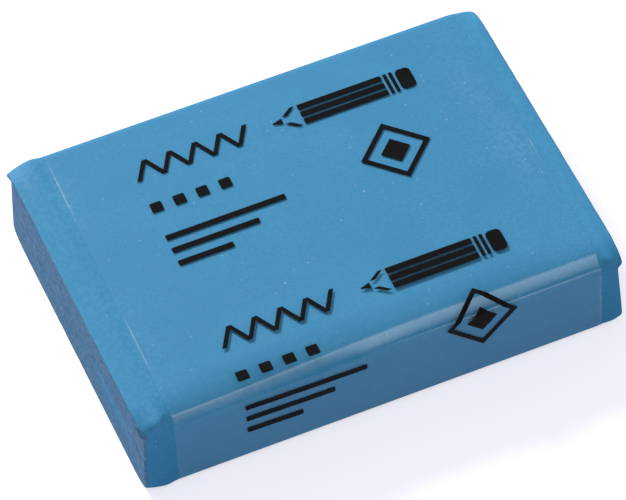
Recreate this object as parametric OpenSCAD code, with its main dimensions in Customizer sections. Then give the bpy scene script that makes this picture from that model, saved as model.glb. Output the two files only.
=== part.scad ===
// Kneadable putty eraser in its printed film band.
// The block is cut from an extruded bar of soft putty, so its two ends are cut faces with
// raised lips. A clear film band is wrapped once round the middle, drawn tight, and lapped on
// the underside. It pulls the long edges of the putty round and bridges the soft front shoulder
// in a creased bend. Black shapes are printed on the film in rows that repeat along the wrap.
// Millimetres. X runs along the block, Y to its back, Z up from the surface it lies on.

/* [Block] */
// Length of the block, from lip to lip
block_length = 42; // [39:0.5:48]
// Width of the block at its bare ends
block_width = 30; // [28:0.5:33]
// Height of the block at its bare ends
block_height = 8.6; // [8:0.2:10]
// Radius of the long edges at the bare ends
bare_edge = 0.5; // [0.3:0.05:0.8]
// Radius of the upright corners
upright_corner = 0.2; // [0.15:0.05:0.6]
// Small radius round each cut face
cut_edge = 0.2; // [0.1:0.05:0.3]
// Depth of the hollow below the top lip of the left cut face
hollow_left = 0.4; // [0.1:0.05:0.8]
// Depth of the hollow below the top lip of the right cut face
hollow_right = 0.45; // [0.1:0.05:0.8]
// Height of the lip at the top of each cut face
lip_height = 1; // [0.5:0.1:1.5]
// Drop of the four upper corners
corner_drop = 0.9; // [0.2:0.1:1]
// Rise of the four lower corners
corner_rise = 0.7; // [0.2:0.1:1]
// Reach of that drop and rise along the edges
corner_reach = 2.6; // [1.5:0.1:3.5]

/* [Putty under the film] */
// Run of the soft front shoulder across the top
front_run = 8; // [6:0.5:10]
// Fall of the soft front shoulder
front_fall = 1.5; // [1.4:0.1:2]
// By how much the putty's other three long edges are rounder than a snug fit in the film
edge_slack = 0.1; // [0.05:0.05:0.4]
// Length over which the putty swells out past each edge of the film
swell_run = 1.2; // [0.6:0.1:1.4]
// Distance inside each edge of the film at which the shoulder reaches its full run and fall
settle_run = 5; // [3:0.5:8]
// Room between the film's front bend and the shoulder at the edges of the film
shoulder_room = 0.3; // [0.25:0.05:0.5]
// Depth to which the top leans away from the film towards the front shoulder
front_lean = 0.35; // [0:0.05:0.5]
// Distance behind the front at which the top starts to lean
lean_run = 15; // [10:0.5:16]

/* [Film band] */
// Thickness of the film
film_thickness = 0.05; // [0.04:0.01:0.1]
// Clearance between the film and the putty
film_gap = 0.04; // [0.03:0.01:0.08]
// Bare putty to the left of the band, at mid-width
bare_left = 3.1; // [2:0.1:5]
// Bare putty to the right of the band, at mid-width
bare_right = 1.75; // [1.6:0.05:4]
// Angle by which the band sits askew
film_skew = 0.8; // [0:0.1:1.2]
// Leg of the front bend at the band's left edge
bend_left = 0.7; // [0.6:0.05:1.2]
// Leg of the front bend at the band's right edge
bend_right = 1.1; // [0.6:0.05:1.3]
// Radius of the creases that end the front bend at the right
crease = 0.25; // [0.15:0.05:0.5]
// Radius of the film round the other three long edges
film_corner = 0.5; // [0.4:0.05:0.7]

/* [Lap seam] */
// Width of the lap
lap_width = 4.6; // [3:0.2:5]
// Shift of the lap from the middle of the blank between two printed rows
lap_shift = 0; // [-0.3:0.1:0.3]
// Length over which the outer film climbs on to the lap
lap_ramp = 0.5; // [0.3:0.1:0.8]

/* [Print] */
// Distance along the film from the top's centre line back to the first row's upper line
row_start = 9.7; // [9:0.1:10.5]
// Width of a printed row
print_width = 25; // [24.5:0.5:27]
// Shift of the print along the block from the band's middle
print_shift = 0; // [-1:0.1:1]
// Blank between the lines of a row
line_gap = 2.6; // [2:0.1:2.8]
// Thickness of the ink
ink_thickness = 0.02; // [0.01:0.005:0.025]
// Clearance between the ink and the film
ink_gap = 0.015; // [0.01:0.005:0.015]
// Width of a printed line
line_width = 0.42; // [0.3:0.02:0.6]
// Length of the pencil figure
pencil_length = 12.6; // [10:0.2:13]
// Width of the pencil figure
pencil_width = 2.2; // [1.6:0.1:2.6]
// Half-diagonal of the diamond figure
diamond_reach = 3.1; // [2:0.1:3.2]
// Length of the zigzag figure
zigzag_length = 10; // [8:0.5:10.5]
// Height of the zigzag figure
zigzag_height = 2; // [1.2:0.1:2.4]
// Length of the longest printed rule
rule_length = 10.5; // [8:0.5:11.5]

/* [Hidden] */

half_length = block_length / 2;
half_width = block_width / 2;
mid_height = block_height / 2;
skew_rate = tan(film_skew);
// Room for the lapped film under the block, and for one thickness elsewhere
under_room = 2 * film_thickness + film_gap;
side_room = film_thickness + film_gap;
// A point this far from the sharp corner is where a section's corner begins
corner_share = 0.5;
// Points on each half-width of the top and bottom, on each corner and on each upright side
flat_steps = 9;
corner_steps = 4;
side_steps = 4;
// Share of the lean's distance over which it deepens
lean_spread = 0.6;
// Distance past the film's edge at which the swell starts
swell_start = 0.05;
// Greatest share of the bare putty that the swell takes up
swell_share = 0.85;
// Sides of each rounded film edge
bend_steps = 5;
// By how much the leg of the front bend exceeds its radius at the left
bend_flat = 0.05;
// Stations along the film
film_stations = 8;

function smooth(t) = let (u = max(0, min(1, t))) u * u * (3 - 2 * u);
function mix(a, b, t) = a + (b - a) * t;
// Drop of an elliptical shoulder at distance d from the sharp edge
function shoulder(d, run, fall) =
    d >= run ? 0 : fall * (1 - sqrt(max(0, 1 - pow((run - d) / run, 2))));

// Edges of the film band, which shift with y because the band sits askew
function band_left(y) = -half_length + bare_left + skew_rate * y;
function band_right(y) = half_length - bare_right + skew_rate * y;
// Length of bare putty past the film, where side is -1 at the left and 1 at the right
function bare_length(side, y) = half_length - side * (side < 0 ? band_left(y) : band_right(y));

// ---- Putty block ----

// A section is [half width, bottom, top, front top, back top, front bottom, back bottom,
// lean], where each corner is [run, fall].
bare_section = [half_width, 0, block_height, [bare_edge, bare_edge], [bare_edge, bare_edge],
                [bare_edge, bare_edge], [bare_edge, bare_edge], 0];
function held_section(front, lean) = let (r = film_corner - side_room + edge_slack)
    [half_width - side_room, under_room, block_height - side_room,
     front, [r, r], [r, r], [r, r], lean];
// At an edge of the film the shoulder is only as deep as the film's bend needs
function edge_shoulder(leg) = let (fall = leg + shoulder_room) [2 * fall, fall];

// Places across the top and bottom, closer together towards the edges
flat_places = [for (i = [-flat_steps:flat_steps]) sin(90 * i / flat_steps)];

// Share of the lean at distance d behind the front
function lean_at(d) = smooth((lean_run - d) / (lean_run * lean_spread));

function flat_row(s, low) = let (
    reach = s[0] - corner_share,
    front = low ? s[5] : s[3],
    back = low ? s[6] : s[4])
    [for (p = flat_places) let (
        y = p * reach,
        drop = shoulder(y + s[0], front[0], front[1]) + shoulder(s[0] - y, back[0], back[1]))
        [y, low ? s[1] + drop : s[2] - drop - s[7] * lean_at(y + s[0])]];

// Quarter turn from a flat to an upright side: side is -1 at the front and 1 at the back
function turn(s, low, side) = let (
    c = side < 0 ? (low ? s[5] : s[3]) : (low ? s[6] : s[4]),
    run = max(c[0], corner_share),
    top = side < 0 ? s[2] - s[7] : s[2],
    t0 = asin(1 - corner_share / run))
    [for (i = [1:corner_steps]) let (t = mix(t0, 90, i / corner_steps))
        [side * (s[0] - run * (1 - sin(t))),
         low ? s[1] + c[1] * (1 - cos(t)) : top - c[1] * (1 - cos(t))]];

function upright(s, side) = let (
    low = s[1] + (side < 0 ? s[5][1] : s[6][1]),
    high = side < 0 ? s[2] - s[7] - s[3][1] : s[2] - s[4][1])
    [for (i = [1:side_steps - 1]) [side * s[0], mix(high, low, i / side_steps)]];

function backwards(list) = [for (i = [len(list) - 1:-1:0]) list[i]];

// The whole outline, from the top's back edge forwards and round underneath
function outline(s) = concat(
    backwards(flat_row(s, false)), turn(s, false, -1), upright(s, -1),
    backwards(turn(s, true, -1)), flat_row(s, true), turn(s, true, 1),
    backwards(upright(s, 1)), backwards(turn(s, false, 1)));

bare_outline = outline(bare_section);
held_outline = outline(held_section([front_run, front_fall], front_lean));
left_outline = outline(held_section(edge_shoulder(bend_left), 0));
right_outline = outline(held_section(edge_shoulder(bend_right), 0));
ring_size = len(bare_outline);
function edge_outline(side) = side < 0 ? left_outline : right_outline;

// How far a cut face stands back at place y and height z. It is deepest below the top lip and
// comes out again towards the foot.
function face_hollow(side, y, z) = let (
    below_lip = smooth((block_height - z - cut_edge) / lip_height),
    over = max(0, abs(y) - (half_width - upright_corner)) / upright_corner)
    (side < 0 ? hollow_left : hollow_right) * below_lip * z / block_height
    + upright_corner * (1 - sqrt(max(0, 1 - over * over)));

// Drop of the top near one of its corners, which turns into a rise at the foot
function drop_at(x, y, z) = let (
    to_end = half_length - abs(x),
    to_side = half_width - abs(y),
    near = max(0, 1 - norm([to_end, to_side]) / corner_reach),
    up = smooth(z / block_height))
    near * near * mix(-corner_rise, corner_drop, up);

// Inset of the ring at a distance behind the cut face, which rounds its rim
function rim_inset(behind) =
    behind >= cut_edge ? 0 : cut_edge - sqrt(cut_edge * cut_edge - pow(cut_edge - behind, 2));

function inset(p, d) = [p[0] * (1 - d / half_width),
                        mid_height + (p[1] - mid_height) * (1 - d / mid_height)];

// One point of the bare end: side is -1 or 1, behind is the distance from the cut face
function end_point(i, side, behind) = let (
    p = inset(bare_outline[i], rim_inset(behind)),
    x = side * (half_length - face_hollow(side, p[0], p[1]) - behind))
    [x, p[0], p[1] - drop_at(x, p[0], p[1])];

// Length of the swell past the film's edge at point p of the bare outline, which is shorter
// beside a rounded upright corner
function swell_length(side, p) = min(swell_run, swell_share * (
    bare_length(side, p[0]) - face_hollow(side, p[0], p[1]) - cut_edge - swell_start));

// A point where the putty swells out, at a share of the way from the film's edge
function swell_point(i, side, share) = let (
    p = bare_outline[i],
    q = mix(edge_outline(side)[i], p, smooth(share)),
    edge = side < 0 ? band_left(q[0]) : band_right(q[0]),
    x = edge + side * (swell_start + swell_length(side, p) * share))
    [x, q[0], q[1] - drop_at(x, q[0], q[1])];

// A point under the film, at distance inside from the edge on that side
function held_point(i, side, inside) = let (
    q = mix(edge_outline(side)[i], held_outline[i], smooth(inside / settle_run)),
    x = side < 0 ? band_left(q[0]) + inside : band_right(q[0]) - inside)
    [x, q[0], q[1] - drop_at(x, q[0], q[1])];

behind_steps = [for (share = [0, 0.25, 1]) share * cut_edge];
swell_steps = [for (i = [4:-1:0]) i / 4];
settle_steps = [for (share = [0.12, 0.27, 0.42, 0.57, 0.75, 1]) share * settle_run];

// Rings from the left cut face to the right one
body_rings = concat(
    [for (b = behind_steps) [for (i = [0:ring_size - 1]) end_point(i, -1, b)]],
    [for (s = swell_steps) [for (i = [0:ring_size - 1]) swell_point(i, -1, s)]],
    [for (d = settle_steps) [for (i = [0:ring_size - 1]) held_point(i, -1, d)]],
    [for (d = backwards(settle_steps)) [for (i = [0:ring_size - 1]) held_point(i, 1, d)]],
    [for (s = backwards(swell_steps)) [for (i = [0:ring_size - 1]) swell_point(i, 1, s)]],
    [for (b = backwards(behind_steps)) [for (i = [0:ring_size - 1]) end_point(i, 1, b)]]);

// Rings that close a cut face, shrinking towards its middle
face_shares = [0.975, 0.94, 0.88, 0.8, 0.68, 0.5, 0.28];
function face_ring(side, share) = [for (p = bare_outline) let (
    q = inset(p, cut_edge),
    y = q[0] * share,
    z = mid_height + (q[1] - mid_height) * share,
    x = side * (half_length - face_hollow(side, y, z)))
    [x, y, z - drop_at(x, y, z)]];
function face_middle(side) = [side * (half_length - face_hollow(side, 0, mid_height)), 0,
                              mid_height];

// Skin of a tube of rings, closed by a point at each end
module ringed_solid(rings, first, last) {
    n = len(rings[0]);
    m = len(rings);
    points = concat([first], [for (r = rings) each r], [last]);
    end = len(points) - 1;
    faces = concat(
        [for (i = [0:n - 1]) [0, 1 + i, 1 + (i + 1) % n]],
        [for (k = [0:m - 2], i = [0:n - 1]) let (
            a = 1 + k * n + i,
            b = 1 + k * n + (i + 1) % n)
            each [[a, b + n, b], [a, a + n, b + n]]],
        [for (i = [0:n - 1]) let (a = 1 + (m - 1) * n + i, b = 1 + (m - 1) * n + (i + 1) % n)
            [a, end, b]]);
    polyhedron(points, faces, convexity = 4);
}

module putty_block() {
    color("steelblue")
        ringed_solid(
            concat([for (s = backwards(face_shares)) face_ring(-1, s)], body_rings,
                   [for (s = face_shares) face_ring(1, s)]),
            face_middle(-1), face_middle(1));
}

// ---- Film band ----

// Leg and crease radius of the front bend, at a share of the way from the left edge
function bend_leg(share) = mix(bend_left, bend_right, share);
function bend_radius(share) = mix(bend_left - bend_flat, crease, smooth(share));

// Points of the film's outer outline are [y, z, direction of the normal, laps].
// An arc runs from one direction to another about a middle.
function film_arc(middle, r, from, to, steps) =
    [for (i = [0:steps]) let (t = mix(from, to, i / steps))
        [middle[0] + r * cos(t), middle[1] + r * sin(t), t, 0]];

// From the top's centre line forwards, down the front and round its lower edge
function film_front(share) = let (c = bend_leg(share), r = bend_radius(share), k = film_corner)
    concat(
        [[0, block_height, 90, 0]],
        film_arc([c - half_width, block_height - r], r, 90, 135, bend_steps),
        film_arc([r - half_width, block_height - c], r, 135, 180, bend_steps),
        film_arc([k - half_width, film_thickness + k], k, 180, 270, bend_steps));

// Round the lower back edge, up the back and round its upper edge
film_back = let (k = film_corner) concat(
    film_arc([half_width - k, film_thickness + k], k, 270, 360, bend_steps),
    film_arc([half_width - k, block_height - k], k, 360, 450, bend_steps));
film_end = [0, block_height, 450, 0];

// Distance from the first point of a list to each of its points
function path_places(list) =
    [for (i = 0, s = 0; i < len(list);
          s = s + (i + 1 < len(list) ? norm([list[i + 1][0] - list[i][0],
                                             list[i + 1][1] - list[i][1]]) : 0),
          i = i + 1) s];
function path_length(list) = path_places(list)[len(list) - 1];
front_length = path_length(film_front(0.5));
wrap_length = path_length(concat(film_front(0.5), film_back, [film_end]));

// The rows of print share out the wrap evenly
row_count = 4;
row_pitch = wrap_length / row_count;
// A row reaches from row_head before its upper line to row_tail after it
row_head = max(pencil_width, zigzag_height) / 2;
square_size = line_width * 2.4;
square_line = zigzag_height / 2 + line_gap + square_size / 2;
rule_pitch = line_width * 3.4;
rule_width = line_width * 1.3;
rule_line = square_line + square_size / 2 + line_gap + rule_width / 2;
diamond_line = pencil_width / 2 + line_gap + diamond_reach;
row_tail = max(rule_line + 2 * rule_pitch + rule_width / 2, diamond_line + diamond_reach);

// The lap lies in the blank between the last row and the first
lap_place = (row_count - 1.5) * row_pitch - row_start + (row_tail - row_head) / 2 + lap_shift;
lap_middle = lap_place - front_length + film_corner - half_width;
lap_front = lap_middle - lap_width / 2;
lap_back = lap_middle + lap_width / 2;
// Run of the step at the cut edge of the outer film
lap_edge = 0.02;
film_lap = let (low = film_thickness)
    [[lap_front - lap_ramp, low, 270, 0], [lap_front, low, 270, 1],
     [lap_back, low, 270, 1], [lap_back + lap_edge, low, 270, 0]];

function film_outline(share) = concat(film_front(share), film_lap, film_back);

function film_point(p, share, out) = let (
    y = p[0] + out * cos(p[2]),
    z = p[1] + out * sin(p[2]))
    [mix(band_left(p[0]), band_right(p[0]), share), y, z];

function film_ring(share, inside) =
    [for (p = film_outline(share))
        film_point(p, share, inside ? -film_thickness : p[3] * film_thickness)];

module film_band() {
    outer = [for (i = [0:film_stations]) film_ring(i / film_stations, false)];
    inner = [for (i = [0:film_stations]) film_ring(i / film_stations, true)];
    n = len(outer[0]);
    m = film_stations + 1;
    points = concat([for (r = outer) each r], [for (r = inner) each r]);
    skin = m * n;
    faces = concat(
        [for (k = [0:m - 2], i = [0:n - 1]) let (a = k * n + i, b = k * n + (i + 1) % n)
            each [[a, b + n, b], [a, a + n, b + n],
                  [a + skin, b + skin, b + n + skin], [a + skin, b + n + skin, a + n + skin]]],
        [for (i = [0:n - 1]) let (j = (i + 1) % n, e = (m - 1) * n)
            each [[i, j + skin, i + skin], [i, j, j + skin],
                  [e + i, e + i + skin, e + j + skin], [e + i, e + j + skin, e + j]]]);
    color([0.75, 0.85, 0.92, 0.35]) polyhedron(points, faces, convexity = 4);
}

// ---- Print ----

// The film's outline by distance along the wrap from the top's centre line, going forwards
function wrap_table(share) = let (
    around = concat(film_outline(share), [film_end]),
    s = path_places(around))
    [for (i = [0:len(around) - 1]) [s[i], around[i][0], around[i][1], around[i][2]]];

function share_at(x) = (x - band_left(0)) / (band_right(0) - band_left(0));

// Place on the film at x along the block and s along the wrap, raised by out
function wrap_point(table, x, s, out) = let (
    length = table[len(table) - 1][0],
    t = s < 0 ? s + length : s,
    y = lookup(t, [for (r = table) [r[0], r[1]]]),
    z = lookup(t, [for (r = table) [r[0], r[2]]]),
    a = lookup(t, [for (r = table) [r[0], r[3]]]))
    [x, y + out * cos(a), z + out * sin(a)];

// Rows of a patch are [s, left x, right x]. More rows are put in where the film bends.
function finer_rows(rows, table) = let (length = table[len(table) - 1][0])
    concat(
        [for (i = [0:len(rows) - 2]) let (low = rows[i][0], high = rows[i + 1][0])
            each concat(
                [rows[i]],
                [for (b = table) let (t = low < 0 && b[0] > length / 2 ? b[0] - length : b[0])
                    if (t > low + 0.001 && t < high - 0.001)
                        mix(rows[i], rows[i + 1], (t - low) / (high - low))])],
        [rows[len(rows) - 1]]);

// Greatest width of one strip of a patch
strip_width = 4;
// Gap between fields of ink that meet at a corner
hairline = 0.02;

// A field of ink bounded by its rows
module ink_field(rows) {
    left = min([for (r = rows) r[1]]);
    right = max([for (r = rows) r[2]]);
    fine = finer_rows(rows, wrap_table(share_at((left + right) / 2)));
    nc = max(1, ceil((right - left) / strip_width));
    nr = len(fine);
    low = ink_gap;
    high = ink_gap + ink_thickness;
    function layer(out) = [for (r = fine, j = [0:nc]) let (x = mix(r[1], r[2], j / nc))
        wrap_point(wrap_table(share_at(x)), x, r[0], out)];
    points = concat(layer(high), layer(low));
    w = nc + 1;
    skin = nr * w;
    faces = concat(
        [for (i = [0:nr - 2], j = [0:nc - 1]) let (a = i * w + j)
            each [[a, a + 1, a + w + 1], [a, a + w + 1, a + w],
                  [a + skin, a + w + 1 + skin, a + 1 + skin],
                  [a + skin, a + w + skin, a + w + 1 + skin]]],
        [for (i = [0:nr - 2]) let (a = i * w, b = i * w + nc)
            each [[a, a + w, a + w + skin], [a, a + w + skin, a + skin],
                  [b, b + w + skin, b + w], [b, b + skin, b + w + skin]]],
        [for (j = [0:nc - 1]) let (b = (nr - 1) * w + j)
            each [[j, j + 1 + skin, j + 1], [j, j + skin, j + 1 + skin],
                  [b, b + 1, b + 1 + skin], [b, b + 1 + skin, b + skin]]]);
    polyhedron(points, faces, convexity = 4);
}

module ink_bar(s, x0, x1, width) {
    ink_field([[s - width / 2, x0, x1], [s + width / 2, x0, x1]]);
}

// A pencil lying along the block, its point to the left
module pencil_figure(s, x) {
    w = pencil_width;
    gap = line_width / 2;
    facet = (w - 2 * gap) / 3;
    // Lengths of the sharpened cone, the lead, the cap and each ring behind the body
    cone = w * 1.15;
    lead = cone * 0.34;
    cap = w * 0.6;
    ring = line_width * 0.7;
    // Half-widths of the lead and of the bare wood behind it
    lead_half = w * 0.14;
    wood_half = w * 0.18;
    body_end = x + pencil_length - cap - 2 * ring - 3 * gap;
    for (k = [-1:1]) ink_bar(s + k * (facet + gap), x + cone, body_end, facet);
    for (k = [0:1]) let (a = body_end + gap + k * (ring + gap)) ink_bar(s, a, a + ring, w);
    ink_bar(s, x + pencil_length - cap, x + pencil_length, w);
    // Bare wood between two slanted lines, and the solid lead
    for (k = [-1, 1]) {
        near = [s + k * w / 2, x + cone - gap - line_width, x + cone - gap];
        far = [s + k * wood_half, x + lead + gap / 2, x + lead + gap / 2 + line_width];
        ink_field(k < 0 ? [near, far] : [far, near]);
    }
    ink_field([[s - lead_half, x + lead - 2 * hairline, x + lead], [s, x, x + lead],
               [s + lead_half, x + lead - 2 * hairline, x + lead]]);
}

// A zigzag line of strokes that lean one way and the other, with a corner piece at each turn
module zigzag_figure(s, x) {
    strokes = 9;
    lean = zigzag_length / strokes;
    half = zigzag_height / 2;
    t = line_width;
    // Height over which two strokes run together at a turn
    turn_height = t * zigzag_height / (2 * lean);
    straight = half - turn_height - hairline;
    for (i = [0:strokes - 1]) {
        up = i % 2 == 0;
        middle = x + (i + 0.5) * lean;
        ink_field([for (v = [-straight, straight])
            let (at = middle + (up ? -v : v) * lean / zigzag_height) [s + v, at, at + t]]);
    }
    for (i = [0:strokes]) {
        low = i % 2 == 0;
        at = x + i * lean;
        root = [s + (low ? 1 : -1) * (half - turn_height), i == 0 ? at + t / 2 : at - t / 2,
                i == strokes ? at + t / 2 : at + 1.5 * t];
        tip = [s + (low ? 1 : -1) * half, at, at + t];
        ink_field(low ? [root, tip] : [tip, root]);
    }
}

// An open diamond round a solid one
module diamond_figure(s, x) {
    r = diamond_reach;
    t = line_width * 1.4;
    core = r * 0.42;
    for (k = [-1, 1]) {
        side = r - t - hairline;
        tip = [s + k * r, x - hairline, x + hairline];
        root = [s + k * (r - t), x - t, x + t];
        ink_field(k < 0 ? [tip, root] : [root, tip]);
        ink_field([for (v = [-side, 0, side]) let (out = r - abs(v), in = r - t - abs(v))
            [s + v, x + (k < 0 ? -out : in), x + (k < 0 ? -in : out)]]);
    }
    ink_field([for (v = [-core, 0, core]) let (reach = core - abs(v) + hairline)
        [s + v, x - reach, x + reach]]);
}

// Short solid squares in a line
module square_figures(s, x) {
    square_count = 4;
    for (i = [0:square_count - 1])
        ink_bar(s, x + i * square_size * 2, x + i * square_size * 2 + square_size, square_size);
}

// Rules that shorten row by row
module rule_figures(s, x) {
    rule_step = rule_length * 0.27;
    for (i = [0:2]) ink_bar(s + i * rule_pitch, x, x + rule_length - rule_step * i, rule_width);
}

// One printed row, its upper line at s: the left column is set to the left and the pencil to
// the right, with the diamond under the pencil's body
module print_row(s) {
    middle = (band_left(0) + band_right(0)) / 2 + print_shift;
    left = middle - print_width / 2;
    right = middle + print_width / 2;
    diamond_place = right - pencil_length * 0.35;
    zigzag_figure(s, left);
    square_figures(s + square_line, left);
    rule_figures(s + rule_line, left);
    pencil_figure(s, right - pencil_length);
    diamond_figure(s + diamond_line, diamond_place);
}

module film_print() {
    color([0.09, 0.09, 0.1]) for (i = [-1:row_count - 2]) print_row(i * row_pitch - row_start);
}

putty_block();
film_band();
film_print();
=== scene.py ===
"""Kneadable putty eraser in its printed film band: fine meshes, finishes and studio.

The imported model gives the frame. The putty, the film and the print are each made again as a
fine mesh in the place of their plain solids. The film and the print are made flat, at the
size to which they are cut, and then wrapped round the block. Sizes are millimetres, and
places on a mesh are arrays of shape (vertices, 3).
"""

from __future__ import annotations

import logging
import math
from dataclasses import dataclass, field
from enum import Enum, IntEnum
from functools import cached_property, partial
from typing import Callable, NamedTuple, Sequence

import bpy
import numpy as np
from mathutils import Matrix, Quaternion, Vector, noise


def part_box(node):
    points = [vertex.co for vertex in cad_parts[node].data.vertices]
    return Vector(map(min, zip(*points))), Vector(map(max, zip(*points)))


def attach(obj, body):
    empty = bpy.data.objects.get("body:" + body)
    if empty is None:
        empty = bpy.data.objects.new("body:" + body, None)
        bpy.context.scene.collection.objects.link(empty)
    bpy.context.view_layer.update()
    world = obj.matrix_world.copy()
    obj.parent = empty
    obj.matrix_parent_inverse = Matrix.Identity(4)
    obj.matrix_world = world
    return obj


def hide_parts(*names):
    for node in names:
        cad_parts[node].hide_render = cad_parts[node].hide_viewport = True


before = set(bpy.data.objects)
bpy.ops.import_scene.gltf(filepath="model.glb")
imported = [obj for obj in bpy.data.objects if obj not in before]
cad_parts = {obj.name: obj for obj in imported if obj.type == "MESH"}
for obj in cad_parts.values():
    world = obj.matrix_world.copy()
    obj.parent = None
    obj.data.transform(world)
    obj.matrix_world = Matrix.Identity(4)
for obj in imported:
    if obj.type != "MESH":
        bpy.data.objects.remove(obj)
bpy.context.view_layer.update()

LOG = logging.getLogger("putty_eraser")
MM = 0.001
Array = np.ndarray
Colour = tuple[float, float, float]
Numbers = tuple[float, ...]
Rows = tuple[Numbers, ...]
Material = bpy.types.Material
Node = bpy.types.Node
Socket = bpy.types.NodeSocket
Thing = bpy.types.Object
Tree = bpy.types.NodeTree


class Slot(Enum):
    """Names for the three kinds of material, which the script doesn't use."""

    PUTTY = "putty"
    FILM = "film"
    INK = "ink"


# ---- small helpers


def smooth(value: Array) -> Array:
    """Smooth step with level ends, of a value that is clipped to the range 0 to 1."""
    eased = np.clip(value, 0.0, 1.0)
    return eased * eased * (3.0 - 2.0 * eased)


def mix(low: Array, high: Array, share: Array) -> Array:
    """Straight mix of two values, by the share of the second."""
    return low + (high - low) * share


def bell(offset: Array, reach: float, power: int = 2) -> Array:
    """Bump of height 1 that dies away past its reach, the squarer the greater the power."""
    return np.exp(-(offset / reach) ** power)


def points_of(thing: Thing) -> Array:
    """Vertex places of an object's mesh."""
    return np.array([vertex.co for vertex in thing.data.vertices], dtype=float) / MM


def set_points(thing: Thing, places: Array) -> None:
    """Moves the vertices of an object's mesh to new places."""
    thing.data.vertices.foreach_set("co", (places * MM).ravel())
    thing.data.update()


def set_mask(thing: Thing, name: str, values: Array) -> None:
    """Keeps one value a vertex under a name, for the materials to read."""
    layer = thing.data.attributes.new(name, "FLOAT", "POINT")
    layer.data.foreach_set("value", values.astype(np.float32))


def wander(places: Array, size: float, seed: float) -> Array:
    """Smooth noise at each place, from about -1 to 1, with swells of the given size."""
    shift = Vector((seed * 7.31, seed * 3.17, seed * 5.53))
    return np.array([noise.noise(Vector(place) / size + shift) for place in places])


def take_up(*things: Thing) -> None:
    """Makes these objects the only selected ones, and the first one active.

    Args:
        *things: The objects to work on, or none to leave nothing selected.
    """
    bpy.ops.object.select_all(action="DESELECT")
    for thing in things:
        thing.select_set(True)
    if things:
        bpy.context.view_layer.objects.active = things[0]


def added(primitive: Callable[..., object], name: str, **sizes: object) -> Thing:
    """Adds a primitive while nothing else is selected.

    Args:
        primitive: Operator that adds it.
        name: Name of the new object and its mesh.
        **sizes: Values of the operator.

    Returns:
        The new object.
    """
    take_up()
    primitive(**sizes)
    thing = bpy.context.object
    thing.name = thing.data.name = name
    return thing


def in_edit_mode(thing: Thing, work: Callable[[], object], whole: bool = True) -> None:
    """Runs operators on an object in edit mode.

    Args:
        thing: The object to work on.
        work: Function that calls the operators.
        whole: Whether all of the object is selected first.
    """
    take_up(thing)
    bpy.ops.object.mode_set(mode="EDIT")
    if whole:
        bpy.ops.mesh.select_all(action="SELECT")
    work()
    bpy.ops.object.mode_set(mode="OBJECT")


def joined(things: Sequence[Thing]) -> Thing:
    """Joins several objects into the first of them.

    Args:
        things: The objects.

    Returns:
        The one object.
    """
    take_up(*things)
    bpy.ops.object.join()
    bpy.ops.object.transform_apply(location=True, rotation=True, scale=True)
    return bpy.context.object


def thicken(sheet: Thing, thickness: float, side: int) -> None:
    """Gives a flat sheet its thickness.

    Args:
        sheet: The sheet.
        thickness: Its thickness.
        side: 1 to add it above the sheet, and -1 below.
    """
    take_up(sheet)
    wall = sheet.modifiers.new("wall", "SOLIDIFY")
    wall.thickness, wall.offset = thickness * MM, side
    bpy.ops.object.modifier_apply(modifier=wall.name)


def seat_piece(thing: Thing, node: str, material: Material) -> Thing:
    """Dresses a finished piece and puts it in the place of its CAD node.

    Args:
        thing: The finished piece.
        node: CAD node for which it stands.
        material: The finish.

    Returns:
        The piece.
    """
    thing.data.materials.append(material)
    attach(thing, "root")
    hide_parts(node)
    LOG.info("%s: %d faces, in place of %s", thing.name, len(thing.data.polygons), node)
    return thing


# ---- finishes


class Ramp(NamedTuple):
    """A range of a value, and the range on to which it is mapped."""

    low: float
    high: float
    to_low: float = 0.0
    to_high: float = 1.0


@dataclass
class NodeSheet:
    """A node tree with short ways to add nodes and join them."""

    tree: Tree

    def add(self, kind: str, sources: dict[str | int, object] | None = None,
            **settings: object) -> Node:
        """Adds a node.

        Args:
            kind: Node type without its ShaderNode prefix.
            sources: What feeds its inputs.
            **settings: Properties of the node.

        Returns:
            The new node.
        """
        prefix = "" if kind.startswith("Node") else "ShaderNode"
        node = self.tree.nodes.new(prefix + kind)
        for name, value in settings.items():
            setattr(node, name, value)
        self.fill(node, sources or {})
        return node

    def fill(self, node: Node, sources: dict[str | int, object]) -> None:
        """Joins outputs to a node's inputs, or sets their values.

        Args:
            node: The node.
            sources: Output socket, number or colour for each input, by its name or number.
        """
        for name, source in sources.items():
            socket = node.inputs[name]
            if isinstance(source, Socket):
                self.tree.links.new(source, socket)
            elif isinstance(source, tuple) and len(socket.default_value) == 4:
                socket.default_value = (*source, 1.0)
            else:
                socket.default_value = source

    def math(self, operation: str, first: object, second: object, clip: bool = False) -> Socket:
        """Result of an operation on two values, clipped to the range 0 to 1 if so asked."""
        node = self.add("Math", {0: first, 1: second}, operation=operation, use_clamp=clip)
        return node.outputs[0]

    def spread(self, value: object, ramp: Ramp) -> Socket:
        """Value of which one range is mapped on to another."""
        return self.add("MapRange", dict(enumerate((value, *ramp))), clamp=True).outputs[0]

    def blend(self, share: object, low: object, high: object) -> Socket:
        """Mix of two colours, by the share of the second."""
        return self.add("Mix", {0: share, 6: low, 7: high}, data_type="RGBA").outputs[2]

    def place(self, stretch: tuple[float, float, float] = (1.0, 1.0, 1.0)) -> Socket:
        """Place on the piece in millimetres, stretched along each axis."""
        sources = {"Vector": self.add("TexCoord").outputs["Object"],
                   "Scale": tuple(factor / MM for factor in stretch)}
        return self.add("Mapping", sources).outputs[0]

    def mask(self, name: str) -> Socket:
        """Value kept on the mesh under a name."""
        return self.add("Attribute", attribute_name=name).outputs["Fac"]


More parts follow.
